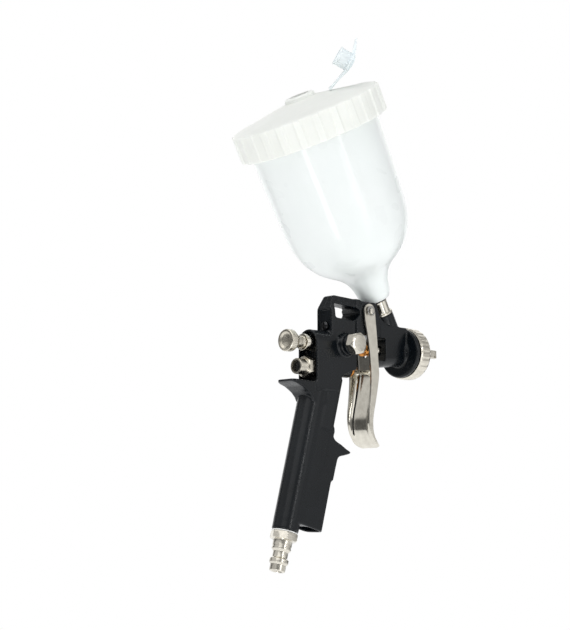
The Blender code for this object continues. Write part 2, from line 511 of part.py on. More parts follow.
# vent plug: a hollow thimble on a strap that folds about its root on the lid
VENT_R, VENT_AZ = 21.0, -48.0
VENT = empty("vent_hinge", (VENT_R * math.cos(math.radians(VENT_AZ)), VENT_R * math.sin(math.radians(VENT_AZ)), 186.9),
             (0, 0, VENT_AZ), CUPAX)
strap_line = [(-0.9, 0.5), (3.8, 2.6), (8.0, 5.0), (12.8, 7.6), (16.9, 10.6), (19.8, 13.8), (22.4, 17.7), (27.2, 24.8),
              (28.0, 24.3), (23.7, 17.0), (20.9, 12.8), (17.9, 9.5), (13.4, 6.4), (8.5, 3.8), (4.4, 1.4), (0.6, -0.8),
              (-0.9, -0.8)]
strap = plate("vent_plug", [strap_line], 3.6, VENT, WHITE, parts)
PLUGAX = empty("vent_plug_axis", (18.1, 0, 10.9), (0, -39.0, 0), VENT)
thimble = turned("vent_thimble", [(0, 0.9), (5.2, 0.9), (5.2, 10.0), (6.5, 10.0), (6.5, 8.8), (6.1, 8.2), (6.1, 1.0), (7.4, 1.0),
                                  (7.4, -0.3), (0, -0.3)], PLUGAX, coll=guides, steps=32)
combine(strap, [thimble], 'UNION')

# ---------------------------------------------------------------- small hardware
screw = turned("loop_screw", [(0, -44.3), (2.0, -44.2), (3.0, -43.4), (3.0, -42.5), (2.1, -42.5), (2.1, -31.0), (0, -31.0)][::-1],
               SCREWAX, SPRING, 24)
combine(screw, [box("screw_slot", (-0.5, -3.5, -46.0), (0.5, 3.5, -43.5), SCREWAX)])
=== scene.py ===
"""Look of a gravity-feed air spray gun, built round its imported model.

Lengths in the shape code are millimetres in the gun frame (origin on the spray axis, +X the spray
direction, +Z up) or in one of the axis frames below. Every mesh is baked to the row frame in metres,
and sizes in materials and lights are metres in that frame.
"""
import math

import bmesh
import bpy
from mathutils import Matrix, Vector


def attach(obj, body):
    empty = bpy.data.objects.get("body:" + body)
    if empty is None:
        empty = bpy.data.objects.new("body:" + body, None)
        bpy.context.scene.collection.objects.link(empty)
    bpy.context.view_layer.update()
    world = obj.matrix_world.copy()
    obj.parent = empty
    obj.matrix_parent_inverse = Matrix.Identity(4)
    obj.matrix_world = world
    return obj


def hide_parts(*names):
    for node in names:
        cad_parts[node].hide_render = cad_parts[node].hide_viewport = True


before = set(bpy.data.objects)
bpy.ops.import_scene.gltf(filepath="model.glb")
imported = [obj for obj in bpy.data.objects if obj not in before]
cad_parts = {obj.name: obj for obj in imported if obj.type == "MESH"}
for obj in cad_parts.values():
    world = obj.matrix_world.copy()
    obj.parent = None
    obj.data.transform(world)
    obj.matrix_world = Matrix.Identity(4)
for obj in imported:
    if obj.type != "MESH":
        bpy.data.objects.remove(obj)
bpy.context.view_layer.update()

MM = 0.001
rad = math.radians


# ---------------------------------------------------------------- frames
GRIP_X, GRIP_Z, GRIP_TILT = -79.5, -121.1, 15.5    # lower end of the handle's air passage, and its lean
VENT_R, VENT_Z, VENT_TURN = 21.0, 186.9, -48.0     # root of the vent plug's strap on the lid


def frame_at(x, y, z, turn=0.0, about='Y', parent=None):
    """Frame at a point, turned about one of its axes, inside a parent frame."""
    here = Matrix.Translation((x * MM, y * MM, z * MM)) @ Matrix.Rotation(rad(turn), 4, about)
    return (parent @ here) if parent else here


GUN = frame_at(30.0, 0, -28.0)
SPRAY = frame_at(0, 0, 0, 90, 'Y', GUN)
VALVE = frame_at(0, 0, -16.0, 90, 'Y', GUN)
CUPAX = frame_at(28.4, 0, 0, -30, 'Y', GUN)
GRIP = frame_at(GRIP_X, 0, GRIP_Z, GRIP_TILT, 'Y', GUN)
SIDE = frame_at(-32.0, 0, 0, 90, 'X', GUN)
TRIG = frame_at(-10.0, 0, 24.4, 90, 'X', GUN)
SCREWAX = frame_at(0, 0, 12.3, 90, 'Y', GUN)
VENT = CUPAX @ Matrix.Translation((VENT_R * math.cos(rad(VENT_TURN)) * MM, VENT_R * math.sin(rad(VENT_TURN)) * MM,
                                   VENT_Z * MM)) @ Matrix.Rotation(rad(VENT_TURN), 4, 'Z')
PLUGAX = frame_at(18.1, 0, 10.9, -39, 'Y', VENT)
ALONG_X = GUN @ Matrix(((0, 0, 1, 0), (1, 0, 0, 0), (0, 1, 0, 0), (0, 0, 0, 1)))    # outlines (y, z), extruded along X


# ---------------------------------------------------------------- materials
def set_stops(node, stops):
    """Fills a colour ramp: each stop is a place and a colour, or a place and a grey."""
    items = node.color_ramp.elements
    while len(items) < len(stops):
        items.new(0.5)
    for item, (pos, colour) in zip(items, stops):
        item.position = pos
        item.color = (*colour, 1.0) if isinstance(colour, tuple) else (colour, colour, colour, 1.0)


class Paint:
    """A node material with small helpers."""

    def __init__(self, name, **sockets):
        self.mat = bpy.data.materials.new(name)
        self.mat.use_nodes = True
        self.tree = self.mat.node_tree
        self.bsdf = self.tree.nodes["Principled BSDF"]
        self.place = self.node("ShaderNodeTexCoord").outputs["Object"]
        for key, value in sockets.items():
            self.bsdf.inputs[key.replace("_", " ")].default_value = value

    def node(self, kind, **values):
        made = self.tree.nodes.new(kind)
        for key, value in values.items():
            setattr(made, key, value)
        return made

    def link(self, a, b):
        self.tree.links.new(a, b)

    def noise(self, scale, detail=4.0, stretch=None):
        tex = self.node("ShaderNodeTexNoise")
        tex.inputs["Scale"].default_value = scale
        tex.inputs["Detail"].default_value = detail
        place = self.place
        if stretch:
            mapping = self.node("ShaderNodeMapping")
            mapping.inputs["Scale"].default_value = stretch
            self.link(place, mapping.inputs["Vector"])
            place = mapping.outputs["Vector"]
        self.link(place, tex.inputs["Vector"])
        return tex.outputs["Fac"]

    def ramp(self, fac, *stops):
        made = self.node("ShaderNodeValToRGB")
        set_stops(made, stops)
        self.link(fac, made.inputs["Fac"])
        return made.outputs["Color"]

    def math(self, op, a, b=None):
        made = self.node("ShaderNodeMath", operation=op)
        for socket, value in zip(made.inputs, (a, b)):
            if value is None:
                continue
            if isinstance(value, (int, float)):
                socket.default_value = value
            else:
                self.link(value, socket)
        return made.outputs[0]

    def span(self, value, lo, hi, to_lo=0.0, to_hi=1.0):
        """Smooth step of a value from one range to another."""
        made = self.node("ShaderNodeMapRange")
        made.interpolation_type = 'SMOOTHSTEP'
        for key, number in (("From Min", lo), ("From Max", hi), ("To Min", to_lo), ("To Max", to_hi)):
            made.inputs[key].default_value = number
        self.link(value, made.inputs["Value"])
        return made.outputs["Result"]

    def axis(self, name):
        made = self.node("ShaderNodeSeparateXYZ")
        self.link(self.place, made.inputs[0])
        return made.outputs[name]

    def colour(self, socket):
        self.link(socket, self.bsdf.inputs["Base Color"])

    def rough(self, fac, lo, hi):
        self.link(self.span(fac, 0.3, 0.7, lo, hi), self.bsdf.inputs["Roughness"])

    def bump(self, height, depth, strength=1.0, last=None):
        made = self.node("ShaderNodeBump")
        made.inputs["Strength"].default_value = strength
        made.inputs["Distance"].default_value = depth
        self.link(height, made.inputs["Height"])
        if last is not None:
            self.link(last, made.inputs["Normal"])
        self.link(made.outputs["Normal"], self.bsdf.inputs["Normal"])
        return made.outputs["Normal"]


def black_nylon():
    """Moulded black with a fine grain and the mould's seam down the middle plane."""
    p = Paint("moulded_black", Specular_IOR_Level=0.30)
    cloud = p.noise(38.0, 3.0)
    p.colour(p.ramp(cloud, (0.3, (0.0017, 0.0029, 0.0042)), (0.7, (0.0030, 0.0046, 0.0065))))
    p.rough(p.noise(160.0, 5.0), 0.22, 0.31)
    seam = p.span(p.math('ABSOLUTE', p.axis("Y")), 0.00008, 0.00026, 1.0, 0.0)
    grain = p.bump(p.noise(2600.0, 3.0), 0.00004, 0.35)
    p.bump(seam, 0.00007, 0.6, grain)
    return p.mat


def nickel(name="bright_nickel", tone=(0.70, 0.665, 0.585), lo=0.13, hi=0.24):
    p = Paint(name, Metallic=1.0)
    cloud = p.noise(420.0, 4.0)
    dark = tuple(c * 0.86 for c in tone)
    p.colour(p.ramp(cloud, (0.32, dark), (0.66, tone)))
    p.rough(p.noise(900.0, 5.0), lo, hi)
    p.bump(p.noise(1500.0, 4.0), 0.00003, 0.30)
    return p.mat


def turned_nickel(name, height, tone=(0.66, 0.62, 0.53)):
    """Lathe-turned end faces: fine rings about an axis along X at that height."""
    ring_pitch = 0.0009
    p = Paint(name, Metallic=1.0)
    y = p.axis("Y")
    z = p.math('SUBTRACT', p.axis("Z"), height)
    r = p.math('SQRT', p.math('ADD', p.math('MULTIPLY', y, y), p.math('MULTIPLY', z, z)))
    rings = p.math('SINE', p.math('MULTIPLY', r, 2 * math.pi / ring_pitch))
    p.colour(p.ramp(p.noise(500.0, 4.0), (0.3, tuple(c * 0.84 for c in tone)), (0.7, tone)))
    p.rough(p.noise(700.0, 4.0), 0.20, 0.34)
    fine = p.bump(p.noise(1400.0, 3.0), 0.00003, 0.25)
    p.bump(rings, 0.00002, 0.35, fine)
    return p.mat


def pressed_steel():
    """Satin outside, polished inside the channel, where the plating keeps its mirror."""
    p = Paint("plated_pressing", Metallic=1.0)
    cloud = p.noise(260.0, 4.0)
    p.colour(p.ramp(cloud, (0.3, (0.60, 0.57, 0.50)), (0.7, (0.72, 0.69, 0.61))))
    side = p.span(p.math('ABSOLUTE', p.axis("Y")), 0.0088, 0.0098, 0.0, 1.0)
    grain = p.noise(1100.0, 4.0, (1.0, 1.0, 0.12))
    satin = p.math('MULTIPLY', side, p.span(grain, 0.3, 0.7, 0.18, 0.30))
    p.link(p.math('ADD', satin, p.span(grain, 0.3, 0.7, 0.10, 0.16)), p.bsdf.inputs["Roughness"])
    p.bump(p.noise(700.0, 3.0, (1.0, 1.0, 0.3)), 0.00005, 0.25)
    return p.mat


def brass():
    p = Paint("machined_brass", Metallic=1.0)
    p.colour(p.ramp(p.noise(500.0, 4.0), (0.3, (0.52, 0.21, 0.05)), (0.7, (0.78, 0.36, 0.10))))
    p.rough(p.noise(900.0, 4.0), 0.22, 0.38)
    p.bump(p.noise(1600.0, 3.0), 0.00003, 0.3)
    return p.mat


def spring_steel():
    p = Paint("drawn_wire", Metallic=1.0)
    p.colour(p.ramp(p.noise(600.0, 4.0), (0.3, (0.28, 0.28, 0.28)), (0.7, (0.45, 0.44, 0.42))))
    p.rough(p.noise(900.0, 4.0), 0.25, 0.42)
    return p.mat


def milk():
    """Blow-moulded polythene: light soaks into it and spreads, under a thin gloss."""
    p = Paint("milky_polythene", Subsurface_Weight=0.3, Subsurface_Scale=0.006, IOR=1.48,
              Specular_IOR_Level=0.22, Coat_Weight=0.42, Coat_Roughness=0.05, Coat_IOR=1.5)
    p.bsdf.inputs["Subsurface Radius"].default_value = (1.0, 1.05, 1.0)
    p.colour(p.ramp(p.noise(30.0, 3.0), (0.3, (0.845, 0.893, 0.870)), (0.7, (0.862, 0.902, 0.884))))
    p.rough(p.noise(45.0, 2.0), 0.27, 0.31)
    return p.mat


def white(name, a, b, weight, lo=0.34, hi=0.48):
    """Pale plastic between two tones, with a little light soaking into it."""
    p = Paint(name, Subsurface_Weight=weight, Subsurface_Scale=0.004, Specular_IOR_Level=0.42)
    p.bsdf.inputs["Subsurface Radius"].default_value = (1.0, 1.0, 0.95)
    p.colour(p.ramp(p.noise(60.0, 3.0), (0.3, a), (0.7, b)))
    p.rough(p.noise(300.0, 4.0), lo, hi)
    p.bump(p.noise(1900.0, 3.0), 0.00003, 0.3)
    return p.mat


def rubber():
    p = Paint("black_rubber_seal", Specular_IOR_Level=0.35)
    p.colour(p.ramp(p.noise(300.0, 4.0), (0.3, (0.010, 0.010, 0.010)), (0.7, (0.018, 0.018, 0.018))))
    p.rough(p.noise(700.0, 4.0), 0.55, 0.75)
    p.bump(p.noise(2200.0, 3.0), 0.00004, 0.4)
    return p.mat


BLACK = black_nylon()
NICKEL = nickel()
KNOB = turned_nickel("turned_knob", -0.028)
CAPTURN = turned_nickel("turned_valve_cap", -0.044)
RINGMAT = nickel("ring_nickel", (0.74, 0.70, 0.61), 0.16, 0.28)
STEEL = pressed_steel()
BRASS = brass()
WIRE = spring_steel()
MILK = milk()
LIDMAT = white("lid_polythene", (0.800, 0.812, 0.770), (0.828, 0.838, 0.800), 0.4)
PLUGMAT = white("plug_polythene", (0.74, 0.815, 0.835), (0.79, 0.85, 0.865), 0.45, 0.26, 0.4)
PTFE = white("ptfe_seal", (0.76, 0.76, 0.73), (0.82, 0.82, 0.80), 0.3, 0.45, 0.6)
RUBBER = rubber()
DARKSCREW = nickel("blackened_steel", (0.055, 0.055, 0.058), 0.3, 0.45)


# ---------------------------------------------------------------- shape helpers
def arc(cx, cz, r, a0, a1, n):
    """Points of an arc from one angle to another, in degrees."""
    return [(cx + r * math.cos(rad(a0 + (a1 - a0) * i / n)), cz + r * math.sin(rad(a0 + (a1 - a0) * i / n)))
            for i in range(n + 1)]


def fillet(points, radii, n=4, closed=True):
    """Outline with its corners rounded; radii is one number or one per corner."""
    straight = rad(172)
    most = 0.48             # of a side that one corner may use up
    out, count = [], len(points)
    for i, p in enumerate(points):
        r = radii[i] if isinstance(radii, (list, tuple)) else radii
        if r <= 0 or (not closed and i in (0, count - 1)):
            out.append(tuple(p))
            continue
        p = Vector(p)
        a, b = Vector(points[i - 1]) - p, Vector(points[(i + 1) % count]) - p
        angle = a.angle(b)
        if angle > straight:
            out.append(tuple(p))
            continue
        half = angle / 2
        cut = min(r / math.tan(half), a.length * most, b.length * most)
        r = cut * math.tan(half)
        a.normalize()
        b.normalize()
        centre = p + (a + b).normalized() * (r / math.sin(half))
        s, e = p + a * cut - centre, p + b * cut - centre
        sweep = math.atan2(s.x * e.y - s.y * e.x, s.dot(e))
        for k in range(n + 1):
            c, d = math.cos(sweep * k / n), math.sin(sweep * k / n)
            out.append((centre.x + s.x * c - s.y * d, centre.y + s.x * d + s.y * c))
    return out


def spline(points, per=6):
    """Catmull-Rom curve through open points."""
    pts = [Vector(p) for p in points]
    pts = [pts[0] * 2 - pts[1]] + pts + [pts[-1] * 2 - pts[-2]]
    out = []
    for a, b, c, d in zip(pts, pts[1:], pts[2:], pts[3:]):
        for k in range(per):
            t = k / per
            out.append(tuple(0.5 * (2 * b + (c - a) * t + (2 * a - 5 * b + 4 * c - d) * t * t
                                    + (3 * b - a - 3 * c + d) * t ** 3)))
    return out + [tuple(pts[-2])]


WELD = 0.0000015            # m, closest that two separate vertices may lie
AXIS = 1e-6                 # mm, a radius under this lies on the axis


def to_object(name, bm, place):
    bmesh.ops.remove_doubles(bm, verts=bm.verts, dist=WELD)
    bmesh.ops.recalc_face_normals(bm, faces=bm.faces)
    bmesh.ops.transform(bm, matrix=place, verts=bm.verts)
    mesh = bpy.data.meshes.new(name)
    bm.to_mesh(mesh)
    bm.free()
    obj = bpy.data.objects.new(name, mesh)
    bpy.context.scene.collection.objects.link(obj)
    return obj


def lathe(name, profile, place, steps=96, soft=0.22, ring=False, shape=None):
    """Turned piece. shape(r, z, angle) can return another radius, for ribs and flutes."""
    line = fillet(profile, soft, 3, ring)
    bm = bmesh.new()
    rows = []
    for k in range(steps):
        a = 2 * math.pi * k / steps
        row = []
        for r, z in line:
            rr = shape(r, z, a) if shape else r
            row.append(bm.verts.new((rr * math.cos(a) * MM, rr * math.sin(a) * MM, z * MM)))
        rows.append(row)
    count = len(line)
    for k in range(steps):
        one, two = rows[k], rows[(k + 1) % steps]
        for i in range(count if ring else count - 1):
            j = (i + 1) % count
            corners = [one[i], one[j], two[j], two[i]]
            if line[i][0] < AXIS:
                corners = [one[i], one[j], two[j]]
            elif line[j][0] < AXIS:
                corners = [one[i], one[j], two[i]]
            bm.faces.new(corners)
    return to_object(name, bm, place)


def tube_profile(r_out, r_in, z0, z1):
    """Closed profile of a plain ring."""
    return [(r_out, z1), (r_out, z0), (r_in, z0), (r_in, z1)]


def rod(name, r, z0, z1, place, steps=64):
    return lathe(name, [(0, z1), (r, z1), (r, z0), (0, z0)], place, steps, 0)


def prism(name, outline, lo, hi, place, turn=True, round_by=0.0, only=None):
    """Outline (x, z) extruded along local Y when turn is set, else (x, y) along Z.

    round_by bevels both rims, all round or only between the corners listed in only.
    """
    bm = bmesh.new()
    sides = []
    for h in (lo, hi):
        sides.append([bm.verts.new((x * MM, h * MM, z * MM) if turn else (x * MM, z * MM, h * MM))
                      for x, z in outline])
    bm.faces.new(sides[0])
    bm.faces.new(list(reversed(sides[1])))
    n = len(outline)
    for i in range(n):
        j = (i + 1) % n
        bm.faces.new((sides[0][i], sides[0][j], sides[1][j], sides[1][i]))
    bmesh.ops.recalc_face_normals(bm, faces=bm.faces)
    if round_by:
        edges = []
        for side in sides:
            for i in range(n):
                j = (i + 1) % n
                if only is None or (i in only and j in only):
                    edge = bm.edges.get((side[i], side[j]))
                    if edge:
                        edges.append(edge)
        bmesh.ops.bevel(bm, geom=edges, offset=round_by * MM, offset_type='OFFSET', segments=4, profile=0.5,
                        affect='EDGES', clamp_overlap=True)
    bmesh.ops.triangulate(bm, faces=[f for f in bm.faces if len(f.verts) > 4])
    return to_object(name, bm, place)


def block(name, lo, hi, place):
    """Box between two corners."""
    outline = [(lo[0], lo[2]), (hi[0], lo[2]), (hi[0], hi[2]), (lo[0], hi[2])]
    return prism(name, outline, lo[1], hi[1], place)


def hex_prism(name, flats, z0, z1, place, turn=0.0):
    r = flats / math.sqrt(3)
    outline = [(r * math.cos(rad(60 * k + turn)), r * math.sin(rad(60 * k + turn))) for k in range(6)]
    return prism(name, outline, z0, z1, place, False)


def bake(obj):
    """Applies the modifiers."""
    deps = bpy.context.evaluated_depsgraph_get()
    mesh = bpy.data.meshes.new_from_object(obj.evaluated_get(deps))
    obj.modifiers.clear()
    obj.data = mesh
    return obj


def carve(obj, tools, operation='DIFFERENCE'):
    """Cuts with tools, adds them or keeps what they share, and removes them."""
    for tool in tools:
        mod = obj.modifiers.new("cut", 'BOOLEAN')
        mod.operation = operation
        mod.solver = 'EXACT'
        mod.object = tool
    bake(obj)
    for tool in tools:
        bpy.data.objects.remove(tool, do_unlink=True)
    return obj


def join(name, objs):
    """One object from several, with nothing merged."""
    bm = bmesh.new()
    for obj in objs:
        bm.from_mesh(obj.data)
        bpy.data.objects.remove(obj, do_unlink=True)
    mesh = bpy.data.meshes.new(name)
    bm.to_mesh(mesh)
    bm.free()
    obj = bpy.data.objects.new(name, mesh)
    bpy.context.scene.collection.objects.link(obj)
    return obj


def mould(obj, voxel, rounds):
    """Fuses overlapping solids and softens every edge, as a moulding has."""
    mod = obj.modifiers.new("fuse", 'REMESH')
    mod.mode = 'VOXEL'
    mod.voxel_size = voxel * MM
    mod.adaptivity = 0.0
    mod = obj.modifiers.new("soften", 'SMOOTH')
    mod.factor = 0.5
    mod.iterations = rounds
    return bake(obj)


def smooth(obj, angle):
    """Smooth shading, with edges sharper than the angle kept crisp."""
    bm = bmesh.new()
    bm.from_mesh(obj.data)
    bmesh.ops.remove_doubles(bm, verts=bm.verts, dist=WELD)
    bmesh.ops.dissolve_degenerate(bm, edges=bm.edges, dist=0.000001)
    for f in bm.faces:
        f.smooth = True
    for e in bm.edges:
        e.smooth = not (len(e.link_faces) == 2 and e.calc_face_angle(0.0) > rad(angle))
    bm.to_mesh(obj.data)
    bm.free()
    return obj


def done(obj, name, mat, body, nodes=(), angle=38):
    """Names and paints a finished piece, and gives it its body and the nodes it stands in for."""
    obj.name = obj.data.name = name
    obj.data.materials.clear()
    obj.data.materials.append(mat)
    smooth(obj, angle)
    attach(obj, body)
    if nodes:
        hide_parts(*nodes)
    return obj


def along_grip(u, v):
    """x, z in the gun frame of a point u up the handle and v ahead of its air passage."""
    s, c = math.sin(rad(GRIP_TILT)), math.cos(rad(GRIP_TILT))
    return (GRIP_X + u * s + v * c, GRIP_Z + u * c - v * s)


# ---------------------------------------------------------------- body
def grip_section(front, half, corner):
    """Half-round rear about the air passage, a little fuller than the flat-sided front."""
    rear_r = 8.6
    root = math.sqrt(rear_r ** 2 - half ** 2)
    start = math.degrees(math.atan2(half, root))
    rear = arc(0, 0, rear_r, start, 360 - start, 40)
    blend = 3.0
    near = [(root + blend * k / 4, -half) for k in (1, 2, 3)]
    far = [(x, -y) for x, y in reversed(near)]
    return (rear + near + arc(front - corner, -(half - corner), corner, -90, 0, 8)
            + arc(front - corner, half - corner, corner, 0, 90, 8) + far)


def make_head():
    """Head block: round belly that rises a little towards the front flange."""
    bm = bmesh.new()
    rings = []
    for x in (-0.2, 9.0, 15.0, 21.0, 26.0, 30.9):
        lift = max(0.0, (x - 9.0) / 21.9) * 2.2
        pts = arc(0, -4.0 + lift, 7.7 - lift * 0.12, 180, 360, 24) + [(7.6, 17.0), (-7.6, 17.0)]
        rings.append([bm.verts.new((x * MM, y * MM, z * MM)) for y, z in pts])
    n = len(rings[0])
    for a, b in zip(rings, rings[1:]):
        for i in range(n):
            j = (i + 1) % n
            bm.faces.new((a[i], a[j], b[j], b[i]))
    bm.faces.new(rings[0])
    bm.faces.new(list(reversed(rings[-1])))
    bmesh.ops.triangulate(bm, faces=[f for f in bm.faces if len(f.verts) > 4])
    return to_object("a", bm, GUN)


def make_body():
    """Handle, hook, rear blocks, loop and head fused into one moulding, then its pockets and bores."""
    adds = [prism("a", grip_section(19.6, 8.1, 4.6), 40.0, 96.0, GRIP, False),
            prism("a", grip_section(26.6, 8.2, 4.6), 6.0, 46.5, GRIP, False),
            rod("a", 8.55, 0.0, 45.0, GRIP),
            prism("a", [(6.0, 8.3)] + arc(15.0, 3.9, 4.5, 90, 0, 8) + arc(15.0, -3.9, 4.5, 0, -90, 8)
                  + [(6.0, -8.3)], 70.0, 107.0, GRIP, False)]
    upper = spline([along_grip(74.0, 18.6), along_grip(71.0, 19.6), (-42.6, -60.9), (-40.4, -63.4), (-35.9, -65.5),
                    (-30.9, -68.3), (-27.5, -69.9)], 5)
    lower = spline([(-27.7, -71.6), (-32.6, -72.7), (-36.6, -73.4), (-38.6, -74.6), (-39.6, -76.6),
                    along_grip(40.0, 26.2)], 5)
    hook_line = upper + [(-26.7, -70.5), (-26.7, -71.0)] + lower + [along_grip(40.0, 12.0), along_grip(74.0, 10.0)]
    adds.append(prism("a", hook_line, -8.0, 8.0, GUN, round_by=0.8))
    tail_line = [(-79.6, -25.0), (-70.0, -25.3), (-57.0, -25.7), (-50.0, -25.7), (-50.0, -40.0),
                 (-61.8, -38.2), (-62.9, -35.8), (-66.2, -32.6), (-71.6, -29.4), (-77.6, -27.3), (-80.0, -26.3)]
    tail = prism("a", tail_line, -8.4, 8.4, GUN, round_by=0.4)
    plan = fillet([(-80.4, -8.4), (-45.0, -8.7), (-45.0, 8.7), (-80.4, 8.4)], [5.0, 0, 0, 5.0], 8)
    adds.append(carve(tail, [prism("t", plan, -50.0, -10.0, GUN, False)], 'INTERSECT'))
    arch = [(-8.85, -30.5), (8.85, -30.5)] + arc(0, 0, 8.85, 0, 180, 40)
    rear = prism("a", arch, -59.0, -21.0, ALONG_X, False)
    under = prism("t", [(-35.2, -20.9), (-20.0, -14.9), (-20.0, -60.0), (-46.0, -60.0)], -20, 20, GUN)
    adds.append(carve(rear, [under]))
    loop_out = fillet([(-43.5, 2.0), (-43.5, 24.6), (-39.3, 33.2), (-15.0, 32.2), (-9.5, 27.0), (-6.0, 12.0),
                       (-22.0, 4.4)], [0, 2.0, 2.2, 2.6, 1.0, 0, 0], 6)
    loop = prism("a", loop_out, -6.9, 6.9, GUN)
    for side in (-1, 1):
        wedge = [(side * 7.0, 22.5), (side * 12.0, 22.5), (side * 12.0, 36.0), (side * 4.4, 36.0), (side * 4.4, 33.3)]
        carve(loop, [prism("t", wedge, -50.0, -20.0, ALONG_X, False)])
    adds.append(loop)
    pivot_line = fillet([(-21.0, 8.2), (-21.0, 20.0), (-15.5, 31.0), (-1.5, 31.2), (2.4, 22.0), (2.4, 8.2)],
                        [0, 3, 2.5, 1.0, 0, 0], 6)
    adds.append(prism("a", pivot_line, -8.5, 8.5, GUN, round_by=0.4))
    adds.append(make_head())
    adds.append(prism("a", [(-6.0, 8.7), (-6.0, 22.0), (3.0, 23.2), (6.6, 20.0), (22.0, 12.0), (22.0, 8.7)],
                      -7.4, 7.4, GUN, round_by=0.5))
    adds.append(rod("a", 7.45, 6.0, 29.2, CUPAX))
    adds.append(lathe("a", [(0, -20.6), (4.2, -20.6), (4.7, -21.4), (4.7, -38.0), (0, -38.0)], VALVE, 64, 0))
    adds.append(lathe("a", [(0, 34.0), (17.1, 34.0), (17.1, 31.2), (16.6, 30.6), (10.0, 30.0), (8.6, 29.0),
                            (0, 29.0)], SPRAY, 120, 0.4))
    adds.append(lathe("a", [(0, 12.4), (6.9, 12.4), (7.4, 11.6), (8.0, 8.0), (8.4, 2.0), (0, 2.0)], SIDE, 72, 0))
    body = mould(join("body_adds", adds), 0.5, 5)
    cuts = [
        prism("c", fillet([(11.2, -6.8), (24.4, -6.8), (24.4, 6.8), (11.2, 6.8)], 2.6, 6), -5.0, 29.0, GRIP, False),
        prism("c", [(-7.4, -25.2), (7.4, -25.2)] + arc(0, 0, 7.4, 0, 180, 32), -62.0, -53.0, ALONG_X, False),
        prism("c", fillet([(-40.2, 27.4), (-19.4, 26.6), (-16.6, 22.6), (-21.8, 17.2), (-39.4, 18.0)],
                          [1.3, 2.4, 2.4, 1.8, 1.8], 6), -20, 20, GUN),
        block("c", (-50.0, -5.4, 9.4), (-42.0, 5.4, 23.4), GUN),
        block("c", (-6.0, -20.0, -7.6), (8.6, 20.0, 8.0), GUN),
        lathe("c", [(0, -19.0), (2.3, -19.0), (2.3, -28.4), (4.8, -28.4), (4.8, -61.0), (0, -61.0)], SPRAY, 48, 0),
        lathe("c", [(0, 40.0), (5.2, 40.0), (5.2, 25.4), (2.7, 25.4), (2.7, 16.7), (3.5, 16.7), (3.5, 6.0),
                    (0, 6.0)], SPRAY, 48, 0),
        lathe("c", [(0, 34.0), (5.4, 34.0), (5.4, 15.3), (3.1, 15.3), (3.1, 1.5), (0, 1.5)], CUPAX, 48, 0),
        lathe("c", [(0, -14.0), (3.4, -14.0), (3.4, -25.0), (2.0, -25.0), (2.0, -34.6), (5.4, -34.6),
                    (5.4, -61.0), (0, -61.0)], VALVE, 48, 0),
        lathe("c", [(0, 97.0), (3.6, 97.0), (3.6, 18.6), (6.2, 18.6), (6.2, -3.0), (0, -3.0)], GRIP, 48, 0),
        lathe("c", tube_profile(13.6, 8.2, 31.8, 36.0), SPRAY, 72, 0, True),
        rod("c", 4.4, 4.0, 16.0, SIDE, 48),
        rod("c", 2.1, -12.0, 12.0, TRIG, 32),
        rod("c", 2.3, -46.0, -30.4, SCREWAX, 32),
    ]
    carve(body, cuts)
    mould(body, 0.42, 2)
    return done(body, "moulded_body", BLACK, "gun", ["gun_body"], 70)


make_body()


# ---------------------------------------------------------------- air inlet
def make_inlet():
    plug = lathe("plug", [(0, 13.0), (5.9, 13.0), (5.9, -1.2), (8.7, -1.2), (8.9, -1.8), (8.9, -5.2), (8.3, -5.8),
                          (6.1, -6.2), (6.1, -12.0), (4.8, -13.4), (4.8, -17.2), (6.0, -18.2), (6.0, -20.4),
                          (5.0, -21.6), (5.0, -25.3), (4.5, -25.9), (0, -25.9)], GRIP, 96, 0.25)
    keep = carve(rod("k", 6.3, -30.0, 20.0, GRIP), [hex_prism("k", 15.6, -6.6, -0.9, GRIP)], 'UNION')
    carve(plug, [keep], 'INTERSECT')
    carve(plug, [lathe("c", [(0, -20.0), (3.2, -20.0), (3.2, -25.3), (3.8, -26.4), (0, -26.4)], GRIP, 64, 0),
                 lathe("c", tube_profile(7.0, 5.75, -11.0, -9.9), GRIP, 64, 0, True)])
    done(plug, "inlet_plug_turned", NICKEL, "gun", ["inlet_plug"], 30)
    done(lathe("seal", tube_profile(8.3, 6.4, -0.95, -0.3), GRIP, 72, 0.15, True), "inlet_washer", PTFE, "gun",
         ["inlet_seal"])


make_inlet()


